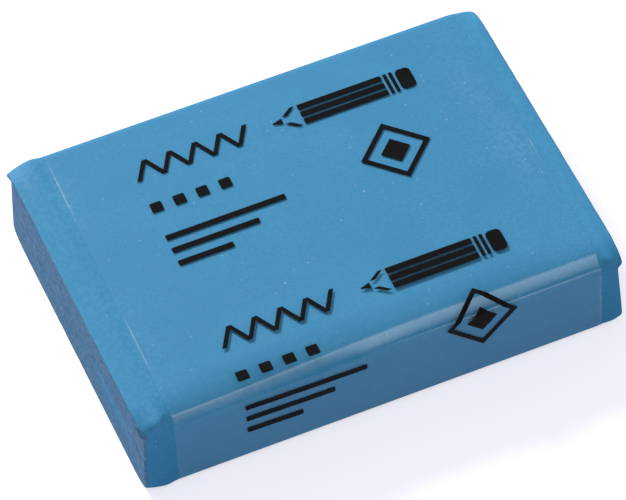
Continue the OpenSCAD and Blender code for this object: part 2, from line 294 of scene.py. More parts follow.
class EffectShelf:
    """The effects that the materials share, each a node group that is built once."""

    def start(self, name: str, values: dict[str, float],
              results: Sequence[str]) -> tuple[NodeSheet, Sequence[Socket], Node]:
        """Starts a group that takes a vector and some numbers.

        Args:
            name: Name of the group.
            values: The numbers that it takes, each with its usual value.
            results: Names of the numbers that it puts out.

        Returns:
            The group's sheet, the sockets of what it takes, and its output node.
        """
        tree = bpy.data.node_groups.new(name, "ShaderNodeTree")
        tree.interface.new_socket("Vector", in_out="INPUT", socket_type="NodeSocketVector")
        for label, value in values.items():
            tree.interface.new_socket(
                label, in_out="INPUT", socket_type="NodeSocketFloat").default_value = value
        for label in results:
            tree.interface.new_socket(label, in_out="OUTPUT", socket_type="NodeSocketFloat")
        sheet = NodeSheet(tree)
        return sheet, sheet.add("NodeGroupInput").outputs, sheet.add("NodeGroupOutput")

    @cached_property
    def specks(self) -> Tree:
        """Group of small specks, in the putty and in the dust on the film."""
        usual = {"Pitch": 1.0, "Reach": 0.2, "Share": 0.5}
        sheet, taken, given = self.start("specks", usual, ("Mask",))
        scale = sheet.math("DIVIDE", 1.0, taken["Pitch"])
        cells = sheet.add("TexVoronoi", {"Vector": taken["Vector"], "Scale": scale},
                          feature="F1").outputs
        away = sheet.math("DIVIDE", cells["Distance"], taken["Reach"])
        chance = sheet.add("SeparateColor", {0: cells["Color"]}).outputs
        strength = sheet.math("MULTIPLY", sheet.math("SUBTRACT", 1.0, away, clip=True),
                              chance[1])
        some = sheet.math("LESS_THAN", chance[0], taken["Share"])
        sheet.fill(given, {"Mask": sheet.math("MULTIPLY", strength, some)})
        return sheet.tree

    @cached_property
    def mottle(self) -> Tree:
        """Group of cloudy variation, in the putty and in the wear of film and ink."""
        usual = {"Coarse Size": 3.0, "Fine Size": 0.3}
        sheet, taken, given = self.start("mottle", usual, ("Coarse", "Fine"))
        for name, detail in (("Coarse", 3.0), ("Fine", 4.0)):
            scale = sheet.math("DIVIDE", 1.0, taken[name + " Size"])
            cloud = sheet.add("TexNoise", {"Vector": taken["Vector"], "Scale": scale,
                                           "Detail": detail})
            sheet.fill(given, {name: cloud.outputs["Fac"]})
        return sheet.tree

    def put(self, sheet: NodeSheet, group: Tree, vector: Socket,
            **values: float) -> Sequence[Socket]:
        """Places an effect in a material.

        Args:
            sheet: The material's sheet.
            group: The effect's node group.
            vector: Place on the piece.
            **values: Values of its inputs, with _ for a space.

        Returns:
            The effect's output sockets.
        """
        sources = {name.replace("_", " ").title(): value for name, value in values.items()}
        return sheet.add("Group", {"Vector": vector, **sources}, node_tree=group).outputs


def new_material(name: str) -> tuple[Material, NodeSheet, Node]:
    """Starts a material.

    Args:
        name: Name of the material.

    Returns:
        The material, its sheet and its Principled shader.
    """
    material = bpy.data.materials.new(name)
    material.use_nodes = True
    sheet = NodeSheet(material.node_tree)
    return material, sheet, material.node_tree.nodes["Principled BSDF"]


@dataclass(frozen=True)
class PuttyFinish:
    """Soft blue putty, smooth where it was extruded and torn where it was cut, with pale dust
    and painted highlights in places.
    """

    skin: Colour = (0.031, 0.253, 0.485)
    skin_pale: Colour = (0.041, 0.280, 0.520)
    # Pale colour of the dust and of the painted highlights.
    pale_dust_and_highlight: Colour = (0.100, 0.330, 0.560)
    torn: Colour = (0.083, 0.228, 0.375)
    torn_dark: Colour = (0.032, 0.145, 0.280)
    torn_blue: Colour = (0.045, 0.200, 0.430)
    speck: Colour = (0.40, 0.56, 0.70)
    speck_strength: float = 0.9
    drawn_out: tuple[float, float, float] = (1.0, 0.35, 1.0)
    grain: Ramp = Ramp(0.35, 0.65, 0.4, 1.6)
    paling: Ramp = Ramp(0.3, 0.75)
    dust_and_highlight_breakup: Ramp = Ramp(0.4, 0.6, 0.1, 1.3)
    tearing: Ramp = Ramp(0.42, 0.6)
    blueing: Ramp = Ramp(0.52, 0.68, 0.0, 0.6)
    roughness: Ramp = Ramp(0.3, 0.7, 0.62, 0.8)
    gloss: float = 0.35
    relief: Ramp = Ramp(0.0, 1.0, 0.25, 1.0)
    relief_depth: float = 0.12
    relief_strength: float = 0.6

    def build(self, shelf: EffectShelf) -> Material:
        """Makes the material.

        Args:
            shelf: The shared effects.

        Returns:
            The material.
        """
        material, sheet, shader = new_material("blue_putty")
        place, cut = sheet.place(), sheet.mask("cut_face")
        cloud = shelf.put(sheet, shelf.mottle, place, coarse_size=5.0, fine_size=0.35)
        drawn = shelf.put(sheet, shelf.mottle, sheet.place(self.drawn_out), coarse_size=0.9,
                          fine_size=0.22)
        specks = shelf.put(sheet, shelf.specks, place, pitch=0.6, reach=0.16, share=0.3)
        grain = sheet.math("MULTIPLY", cloud["Coarse"], sheet.spread(cloud["Fine"], self.grain))
        skin = sheet.blend(sheet.spread(grain, self.paling), self.skin, self.skin_pale)
        # Pale dust on the bare ends, and painted highlights in patches, from the dust mask.
        dust = sheet.math("MULTIPLY", sheet.mask("dust"),
                          sheet.spread(cloud["Fine"], self.dust_and_highlight_breakup))
        skin = sheet.blend(dust, skin, self.pale_dust_and_highlight)
        torn = sheet.blend(sheet.spread(drawn["Fine"], self.tearing), self.torn_dark, self.torn)
        torn = sheet.blend(sheet.spread(drawn["Coarse"], self.blueing), torn, self.torn_blue)
        unsmeared = sheet.math("SUBTRACT", 1.0, sheet.mask("smear"))
        body = sheet.blend(sheet.math("MULTIPLY", cut, unsmeared, clip=True), skin, torn)
        speck_share = sheet.math("MULTIPLY", specks["Mask"], self.speck_strength)
        height = sheet.math("MULTIPLY", cloud["Fine"], sheet.spread(cut, self.relief))
        bump = sheet.add("Bump", {"Height": height, "Distance": self.relief_depth * MM,
                                  "Strength": self.relief_strength})
        sheet.fill(shader, {
            "Base Color": sheet.blend(speck_share, body, self.speck),
            "Roughness": sheet.spread(cloud["Fine"], self.roughness),
            "Specular IOR Level": self.gloss, "Normal": bump.outputs["Normal"]})
        return material


@dataclass(frozen=True)
class FilmFinish:
    """Clear glossy film, which shows by its reflections, its scuffs and its pale cut edges, with
    painted glints, a painted highlight, a painted front reflection and a painted dark band.
    """

    tint: Colour = (0.86, 0.93, 1.0)
    gloss: float = 0.22
    haze: float = 0.002
    # Painted reflection on the film's front face.
    painted_front_reflection: float = 0.018
    # Painted highlight along the front bend.
    bend_highlight_strength: float = 0.085
    # Painted glint along the crease below the front bend.
    crease_glint_strength: float = 0.045
    # Pale wear at the cut sides, with painted glints in places.
    edge_wear_and_glint: float = 0.16
    dust_haze: float = 0.3
    refraction: float = 1.5
    scuffing: Ramp = Ramp(0.4, 0.6, 0.5, 1.0)
    glint_breakup: Ramp = Ramp(0.35, 0.6, 0.6, 1.0)
    highlight_breakup: Ramp = Ramp(0.3, 0.7, 0.8, 1.1)
    roughness: Ramp = Ramp(0.0, 0.2, 0.09, 0.7)

    def build(self, shelf: EffectShelf) -> Material:
        """Makes the material.

        Args:
            shelf: The shared effects.

        Returns:
            The material.
        """
        material, sheet, shader = new_material("clear_film")
        place = sheet.place()
        cloud = shelf.put(sheet, shelf.mottle, place, coarse_size=2.5, fine_size=0.5)
        dust = shelf.put(sheet, shelf.specks, place, pitch=2.2, reach=0.06, share=0.3)
        haze = sheet.math("ADD", sheet.math("MULTIPLY", dust["Mask"], self.dust_haze), self.haze)
        # Painted reflection on the front face, below the bend.
        haze = sheet.math("ADD", haze, sheet.math("MULTIPLY", sheet.mask("front"),
                                                  self.painted_front_reflection))
        # White haze that paints glints at the cut sides, a glint along the crease and a
        # highlight along the front bend; at the cut sides it is also wear.
        for mask, cover, ramp, strength in (
                ("side_edge", "Fine", self.scuffing, self.edge_wear_and_glint),
                ("crease", "Coarse", self.glint_breakup, self.crease_glint_strength),
                ("bend", "Fine", self.highlight_breakup, self.bend_highlight_strength)):
            worn = sheet.math("MULTIPLY", sheet.mask(mask), sheet.spread(cloud[cover], ramp))
            haze = sheet.math("ADD", haze, sheet.math("MULTIPLY", worn, strength))
        fresnel = sheet.add("Fresnel", {"IOR": self.refraction}).outputs["Fac"]
        mirror = sheet.math("MULTIPLY", fresnel, self.gloss)
        inside = sheet.add("NewGeometry").outputs["Backfacing"]
        # The reflection is hidden on the film's inner faces, and in the painted dark band, which
        # paints shade below the bend's highlight.
        hidden = sheet.math("MAXIMUM", inside, sheet.mask("painted_dark_band"))
        shown = sheet.math("MULTIPLY", sheet.math("ADD", mirror, haze),
                           sheet.math("SUBTRACT", 1.0, hidden), clip=True)
        sheet.fill(shader, {"Base Color": self.tint, "Metallic": 1.0, "Alpha": shown,
                            "Roughness": sheet.spread(haze, self.roughness)})
        material.surface_render_method = "BLENDED"
        return material


@dataclass(frozen=True)
class InkFinish:
    """Dense black printing ink with slight unevenness."""

    black: Colour = (0.004, 0.004, 0.005)
    worn: Colour = (0.008, 0.008, 0.009)
    wearing: Ramp = Ramp(0.45, 0.75)
    roughness: Ramp = Ramp(0.3, 0.7, 0.38, 0.55)
    gloss: float = 0.04

    def build(self, shelf: EffectShelf) -> Material:
        """Makes the material.

        Args:
            shelf: The shared effects.

        Returns:
            The material.
        """
        material, sheet, shader = new_material("black_ink")
        cloud = shelf.put(sheet, shelf.mottle, sheet.place(), coarse_size=1.5, fine_size=0.2)
        wear = sheet.spread(cloud["Fine"], self.wearing)
        sheet.fill(shader, {"Base Color": sheet.blend(wear, self.black, self.worn),
                            "Roughness": sheet.spread(cloud["Coarse"], self.roughness),
                            "Specular IOR Level": self.gloss})
        return material


# ---- the film's way round


@dataclass(frozen=True)
class FilmPath:
    """The way of the film round the block, by distance along the wrap.

    Distances start at the top's centre line and go forwards, down the front, under the
    block and up the back. A share is a share of the way from the band's left edge to its
    right one.
    """

    length: float
    width: float
    height: float
    bare_left: float = 3.1
    bare_right: float = 1.75
    skew: float = math.tan(math.radians(0.8))
    bend_left: float = 0.4
    bend_right: float = 1.2
    bend_full: float = 0.6
    bend_drop: float = 1.1
    crease: float = 0.25
    corner: float = 0.5
    thickness: float = 0.05
    lap_middle: float = 4.67
    lap_width: float = 4.6
    lap_ramp: float = 0.5
    stations: int = 33
    arc_steps: int = 12
    bend_station: float = 0.8
    level_run: float = 2.0
    swell_depth: float = 0.012
    pull_depth: float = 0.004
    # Waves of the film's unevenness, in radians a millimetre, each with its shift or sway
    swell_waves: Numbers = (0.9, 0.13, 0.37, 1.3)
    pull_waves: Numbers = (3.1, 0.8, 1.2)

    @property
    def left(self) -> float:
        """The band's left edge on the centre line."""
        return self.bare_left - self.length / 2

    @property
    def right(self) -> float:
        """The band's right edge on the centre line."""
        return self.length / 2 - self.bare_right

    def share(self, x: Array) -> Array:
        """Share of the way from the band's left edge to its right one."""
        return (x - self.left) / (self.right - self.left)

    def leg(self, share: Array) -> Array:
        """Depth of the front bend on the top."""
        return mix(self.bend_left, self.bend_right, smooth(share / self.bend_full))

    def bend_span(self, share: Array) -> tuple[Array, Array]:
        """Distances along the wrap at which the front bend starts and ends.

        Args:
            share: Share of the way from left to right.

        Returns:
            The start and the end.
        """
        leg, radius = self.leg(share), self.crease
        start = self.width / 2 - leg
        flat = np.hypot(leg - radius, self.bend_drop - radius)
        return start, start + radius * math.pi / 2 + flat

    def profile(self, share: float) -> tuple[Array, Array, Array, Array]:
        """The film's outer outline at one station.

        Args:
            share: Share of the way from left to right.

        Returns:
            Distances along the wrap, y, z and the direction of the normal in degrees.
        """
        half = self.width / 2
        leg, drop, radius = float(self.leg(share)), self.bend_drop, self.crease
        k, low, high = self.corner, self.thickness, self.height
        tilt = 90 + math.degrees(math.atan2(drop - radius, leg - radius))
        bends = ((leg - half, high - radius, radius, 90, tilt),
                 (radius - half, high - drop, radius, tilt, 180),
                 (k - half, low + k, k, 180, 270),
                 (half - k, low + k, k, 270, 360),
                 (half - k, high - k, k, 360, 450))
        rows = [(0.0, high, 90.0)]
        for y, z, r, start, end in bends:
            for turn in np.linspace(start, end, self.arc_steps + 1):
                angle = math.radians(turn)
                rows.append((y + r * math.cos(angle), z + r * math.sin(angle), turn))
        rows.append((0.0, high, 450.0))
        y, z, turn = np.array(rows).T
        steps = np.hypot(np.diff(y), np.diff(z))
        return np.concatenate(([0.0], np.cumsum(steps))), y, z, turn

    @property
    def round_length(self) -> float:
        """Length of one turn round the block at the band's middle."""
        return float(self.profile(0.5)[0][-1])

    def under_place(self, y: float) -> float:
        """Distance along the wrap of a place across the underside."""
        way, across, _, turn = self.profile(0.5)
        return float(np.interp(y, across[turn == 270], way[turn == 270]))

    @property
    def outer_end(self) -> float:
        """Distance along the wrap of the film's outer cut end."""
        return self.under_place(self.lap_middle + self.lap_width / 2)

    @property
    def lap_start(self) -> float:
        """Distance along the wrap at which the outer film lies on the inner."""
        return self.under_place(self.lap_middle - self.lap_width / 2)

    @property
    def bend_places(self) -> Array:
        """Distances along the wrap between which the film bends."""
        way, _, _, turn = self.profile(self.bend_station)
        bent = np.diff(turn) != 0
        return np.unique(np.round(np.concatenate((way[:-1][bent], way[1:][bent])), 4))

    def relief(self, flat: Array) -> Array:
        """Slight unevenness of the drawn film, always inwards, and level underneath.

        Args:
            flat: Places on the flat sheet.

        Returns:
            Distance out from the film's even face at each place.
        """
        x, way = flat[:, 0], -flat[:, 1]
        before = self.under_place(self.level_run - self.width / 2) - way
        behind = way + self.width / 2 + self.height - self.level_run
        on_show = smooth(before / self.level_run) * smooth(behind / self.level_run)
        along, across, slow, shift = self.swell_waves
        fine, bow, sway = self.pull_waves
        swell = np.sin(x * along + way * across) * np.sin(x * slow + shift)
        pull = np.sin(x * fine + np.sin(way * bow) * sway)
        return -on_show * (self.swell_depth * (swell + 1) + self.pull_depth * (pull + 1)) / 2

    def wrapped(self, flat: Array, lift: Array | float = 0.0) -> Array:
        """Wraps places of a flat sheet round the block.

        Args:
            flat: Places on the flat sheet: x along the block, y back from the top's centre
                line, and z out from the film's outer face.
            lift: Distance by which the film stands out at each place.

        Returns:
            The places on the block.
        """
        x, way = flat[:, 0], -flat[:, 1]
        out = flat[:, 2] + self.relief(flat) + lift
        lane = np.clip(self.share(x), 0.0, 1.0) * (self.stations - 1)
        line = np.zeros((3, len(x)))
        for k in range(self.stations):
            weight = np.maximum(0.0, 1.0 - np.abs(lane - k))
            near = weight > 0
            along, *values = self.profile(k / (self.stations - 1))
            at = np.mod(way[near], along[-1])
            line[:, near] += weight[near] * [np.interp(at, along, value) for value in values]
        y, z, angle = line[0], line[1], np.radians(line[2])
        return np.column_stack((x + self.skew * y, y + out * np.cos(angle),
                                z + out * np.sin(angle)))


# ---- putty block


class Stretch(IntEnum):
    """The stretches of the block, from each cut face to the middle."""

    END = 0
    SWELL = 1
    SETTLING = 2
    MIDDLE = 3


@dataclass
class PuttyBlock:
    """The block of putty, cut from an extruded bar and held by the film.

    A section of the block is drawn from b and c: the place across it, from -1 at the front
    to 1 at the back, and up it, from -1 to 1. A side is -1 at the left end and 1 at the right.
    """

    path: FilmPath
    # Rings of vertices in each stretch of half of the block
    rings: tuple[int, ...] = (14, 11, 12, 16)
    ring_crowding: float = 1.6
    bare_edge: float = 0.5
    upright_corner: float = 0.2
    cut_edge: float = 0.2
    hollow_left: float = 0.4
    hollow_right: float = 0.45
    lip_height: float = 1.0
    corner_drop: float = 0.9
    corner_rise: float = 0.7
    corner_reach: float = 2.6
    film_gap: float = 0.04
    front_run: float = 4.0
    front_fall: float = 1.95
    front_lean: float = 0.1
    lean_run: float = 15.0
    lean_fade: float = 9.0
    edge_slack: float = 0.1
    swell_run: float = 1.2
    swell_share: float = 0.85
    swell_start: float = 0.05
    settle_run: float = 5.0
    shoulder_room: float = 0.3
    torn_run: float = 0.5
    torn_rim: float = 0.14
    rim_fade: float = 0.06
    rim_share: float = 0.25
    # Depth, size and seed of each unevenness of the cut faces, and how far it is drawn out
    torn_swells: Rows = ((0.05, 1.6, 1.0), (0.03, 0.45, 2.0))
    torn_draw: float = 0.55
    # Y, z, reach along and reach up of each smear of smooth putty on the cut faces
    smears: Rows = ((-7.6, 3.4, 4.1, 0.6), (-1.2, 3.7, 0.9, 0.25), (1.7, 2.3, 0.7, 0.2),
                    (4.9, 2.5, 0.9, 0.22), (7.8, 2.9, 0.8, 0.2), (-4.6, 4.6, 1.0, 0.18))
    smear_depth: float = 0.12
    smear_slope: float = 0.07
    left_dust: float = 0.22
    right_dust: float = 0.1
    dust_run: float = 0.4
    dust_foot: float = 1.5
    # X, y, reach along, reach across and strength of each pale patch, partly dust and partly a
    # painted highlight
    dust_and_highlight_patches: Rows = ((18.0, -0.6, 1.1, 3.4, 0.4), (17.0, 6.0, 1.6, 3.5, 0.2),
                          (-17.8, 10.5, 1.0, 4.0, 0.4), (-17.9, -7.0, 1.2, 3.6, 0.25),
                          (-20.2, 12.6, 1.6, 2.6, 0.6))

    @property
    def segments(self) -> int:
        """Divisions of the block's mesh along each edge."""
        return 2 * sum(self.rings)

    @property
    def half(self) -> Array:
        """Half of the block's length, width and height."""
        return np.array([self.path.length, self.path.width, self.path.height]) / 2

    def section(self, b: Array, c: Array, bottom: float, top: float, half_width: float,
                corners: Sequence[tuple[float, float]]) -> Array:
        """Outline of a section with a rounded corner at each of its four edges.

        Args:
            b: Place across the section.
            c: Place up the section.
            bottom: Height of the section's bottom.
            top: Height of its top.
            half_width: Half of its width.
            corners: Run and fall of the front top, back top, front bottom and back bottom.

        Returns:
            Array of y and z.
        """
        y, z = b * half_width, mix(bottom, top, (c + 1) / 2)
        run, fall = np.array(corners)[2 * (c <= 0) + (b > 0)].T
        core_y = np.clip(y, run - half_width, half_width - run)
        core_z = np.clip(z, bottom + fall, top - fall)
        dy, dz = (y - core_y) / run, (z - core_z) / fall
        reach = np.maximum(np.hypot(dy, dz), 1e-9)
        return np.column_stack((core_y + dy / reach * run, core_z + dz / reach * fall))

    def bare_outline(self, b: Array, c: Array) -> Array:
        """Outline of the block's bare ends."""
        edges = ((self.bare_edge, self.bare_edge),) * 4
        return self.section(b, c, 0.0, self.path.height, self.half[1], edges)

    def held_outline(self, b: Array, c: Array, front: tuple[float, float],
                     lean: float) -> Array:
        """Outline of the putty under the film.

        Args:
            b: Place across the section.
            c: Place up the section.
            front: Run and fall of the front shoulder.
            lean: Depth to which the top leans away from the film towards the front.

        Returns:
            Array of y and z.
        """
        room = self.path.thickness + self.film_gap
        bottom, top = room + self.path.thickness, self.path.height - room
        snug = (self.path.corner - room + self.edge_slack,) * 2
        points = self.section(b, c, bottom, top, self.half[1] - room, (front, *(snug,) * 3))
        behind = points[:, 0] + self.half[1] - room
        leaning = smooth((self.lean_run - behind) / self.lean_fade)
        points[:, 1] -= lean * leaning * smooth((points[:, 1] - bottom) / (top - bottom))
        return points

    def edge_outline(self, b: Array, c: Array) -> Array:
        """Outline of the putty at an edge of the film."""
        fall = self.path.bend_drop + self.shoulder_room
        return self.held_outline(b, c, (2 * fall, fall), 0.0)

    def inset(self, points: Array, depth: Array) -> Array:
        """Outline that is drawn in by a depth towards the middle of the section."""
        middle = np.array([0.0, self.half[2]])
        return middle + (points - middle) * (1 - np.outer(depth, 1 / self.half[1:]))

    def face_hollow(self, side: Array, y: Array, z: Array) -> Array:
        """Distance by which a cut face stands back, deepest below its top lip.

        Args:
            side: Side of the block.
            y: Places across the block.
            z: Heights.

        Returns:
            Distance at each place.
        """
        corner = self.upright_corner
        over = np.maximum(0, np.abs(y) - (self.half[1] - corner)) / corner
        below_lip = smooth((self.path.height - z - self.cut_edge) / self.lip_height)
        depth = np.where(side < 0, self.hollow_left, self.hollow_right)
        return (depth * below_lip * z / self.path.height
                + corner * (1 - np.sqrt(np.maximum(0, 1 - over * over))))

    def face_place(self, side: Array, yz: Array) -> Array:
        """Place of a cut face along the block."""
        return side * (self.half[0] - self.face_hollow(side, *yz.T))

    def film_edge(self, side: Array, y: Array) -> Array:
        """Place of the film's edge on one side, which is askew to the block."""
        return np.where(side < 0, self.path.left, self.path.right) + self.path.skew * y

    @property
    def ring_places(self) -> tuple[Array, Array]:
        """Stretch of each ring of vertices, and the ring's share of the way through it."""
        stretches, shares = [], []
        for stretch, count in zip(Stretch, self.rings):
            share = np.arange(count) / count
            shares.append(share ** self.ring_crowding if stretch == Stretch.END else share)
            stretches.append(np.full(count, stretch))
        return (np.concatenate((*stretches, [Stretch.MIDDLE])),
                np.concatenate((*shares, [1.0])))

    def drop(self, x: Array, y: Array, z: Array) -> Array:
        """Fall of the top near the block's corners, which turns into a rise at the foot.

        Args:
            x: Places along the block.
            y: Places across it.
            z: Heights.

        Returns:
            The fall at each place.
        """
        to_corner = np.hypot(self.half[0] - np.abs(x), self.half[1] - np.abs(y))
        near = np.maximum(0, 1 - to_corner / self.corner_reach)
        return near * near * mix(-self.corner_rise, self.corner_drop,
                                 smooth(z / self.path.height))

    def bare_end(self, side: Array, bare: Array, swell_x: Array, share: Array,
                 rim: Array) -> Array:
        """Places on a bare end, from the cut face to the start of the swell.

        Args:
            side: Side of the block.
            bare: Outline of the bare ends.
            swell_x: Place along the block at which the swell starts.
            share: Share of the way to it.
            rim: Share of the way from the cut face's middle to its rim, and 1 behind it.

        Returns:
            The places.
        """
        face = self.inset(bare, np.full(len(side), self.cut_edge))
        middle = np.array([0.0, self.half[2]])
        face = middle + (face - middle) * rim[:, None]
        behind = np.abs(swell_x - self.face_place(side, face)) * share
        round_in = np.maximum(0, self.cut_edge - behind)
        rounded = self.inset(bare, self.cut_edge - np.sqrt(np.maximum(
            0, self.cut_edge ** 2 - round_in ** 2)))
        on_face = share == 0
        yz = np.where(on_face[:, None], face, rounded)
        x = mix(self.face_place(side, yz), swell_x, share)
        return np.column_stack((x, yz))

    def formed(self, cube: Array) -> tuple[Array, Array]:
        """Moves the vertices of a finely divided cube on to the block.

        Args:
            cube: Vertex places on a cube from -1 to 1.

        Returns:
            The places on the block, and for each vertex its share of the cut face.
        """
        a, b, c = cube.T
        side = np.where(a < 0, -1.0, 1.0)
        ring = np.rint((1 - np.abs(a)) * self.segments / 2).astype(int)
        stretch, share = (values[ring] for values in self.ring_places)
        on_face = ring == 0
        rim = np.where(on_face, np.maximum(np.maximum(np.abs(b), np.abs(c)), 1e-6), 1.0)
        b, c = np.clip(b / rim, -1, 1), np.clip(c / rim, -1, 1)
        bare, edge = self.bare_outline(b, c), self.edge_outline(b, c)
        held = self.held_outline(b, c, (self.front_run, self.front_fall), self.front_lean)
        bare_edge_x = self.film_edge(side, bare[:, 0])
        room = side * (self.face_place(side, bare) - side * self.cut_edge - bare_edge_x)
        length = np.minimum(self.swell_run, self.swell_share * (room - self.swell_start))
        swell_x = bare_edge_x + side * (self.swell_start + length)
        swell = mix(edge, bare, smooth(1 - share)[:, None])
        settled = mix(edge, held, smooth(share)[:, None])
        inner = self.film_edge(side, held[:, 0]) - side * self.settle_run
        centre = (self.path.left + self.path.right) / 2 + self.path.skew * held[:, 0]
        swell_along = self.swell_start + length * (1 - share)
        stretches = (
            self.bare_end(side, bare, swell_x, share, rim),
            np.column_stack((self.film_edge(side, swell[:, 0]) + side * swell_along, swell)),
            np.column_stack((self.film_edge(side, settled[:, 0])
                             - side * self.settle_run * share, settled)),
            np.column_stack((mix(inner, centre, share), held)))
        places = np.choose(stretch[:, None], stretches)
        places[:, 2] -= self.drop(*places.T)
        return places, on_face.astype(float)

    def torn_relief(self, places: Array) -> tuple[Array, Array]:
        """Unevenness of the cut faces.

        Args:
            places: Vertex places.

        Returns:
            Depth of the unevenness at each place, and the share of smeared putty.
        """
        drawn = places * (1.0, self.torn_draw, 1.0)
        depth = sum(height * wander(drawn, size, seed)
                    for height, size, seed in self.torn_swells)
        smear = np.zeros(len(places))
        for y, z, along, up in self.smears:
            beside = places[:, 1] - y
            level = z + self.smear_slope * beside
            spot = bell(beside, along, 4) * bell(places[:, 2] - level, up)
            smear = np.maximum(smear, spot)
        return depth + self.smear_depth * smear, smear

    def dust_and_highlights(self, places: Array) -> Array:
        """Share of pale dust on the bare ends, and of pale patches, partly dust and partly
        painted highlights, beside the film's edges and at the back left corner.

        Args:
            places: Vertex places.

        Returns:
            The share at each place, from 0 to 1.
        """
        x, y, z = places.T
        dust = (self.left_dust * smooth((self.film_edge(-1.0, y) - x) / self.dust_run)
                + self.right_dust * smooth((x - self.film_edge(1.0, y)) / self.dust_run))
        for patch_x, patch_y, along, across, strength in self.dust_and_highlight_patches:
            spot = strength * bell(x - patch_x, along) * bell(y - patch_y, across)
            dust = np.maximum(dust, spot)
        return dust * smooth(z - self.path.height + self.dust_foot)

    def build(self, material: Material) -> Thing:
        """Makes the block.

        Args:
            material: Finish of the putty.

        Returns:
            The finished piece.
        """
        block = added(bpy.ops.mesh.primitive_cube_add, "kneaded_putty", size=2 * MM)
        in_edit_mode(block, partial(bpy.ops.mesh.subdivide, number_cuts=self.segments - 1))
        places, cut = self.formed(points_of(block))
        side = np.sign(places[:, 0])
        face_x = np.abs(self.face_place(side, places[:, 1:]))
        near_cut = smooth(1 - (face_x - np.abs(places[:, 0])) / self.torn_run)
        depth, smear = self.torn_relief(places)
        to_rim = 1 - np.max(np.abs(places[:, 1:] - (0, self.half[2])) / self.half[1:], axis=1)
        share = mix(self.rim_share, 1.0, smooth(to_rim / self.rim_fade))
        places[:, 0] -= side * near_cut * share * np.maximum(depth, 0)
        set_points(block, places)
        at_rim = smooth(1 - (face_x - np.abs(places[:, 0])) / self.torn_rim)
        set_mask(block, "cut_face", np.maximum(cut, at_rim))
        set_mask(block, "smear", smear)
        # The dust mask holds dust on the bare ends and painted highlights in patches.
        set_mask(block, "dust", self.dust_and_highlights(places))
        take_up(block)
        bpy.ops.object.shade_smooth()
        return seat_piece(block, "putty_block", material)


# ---- film band


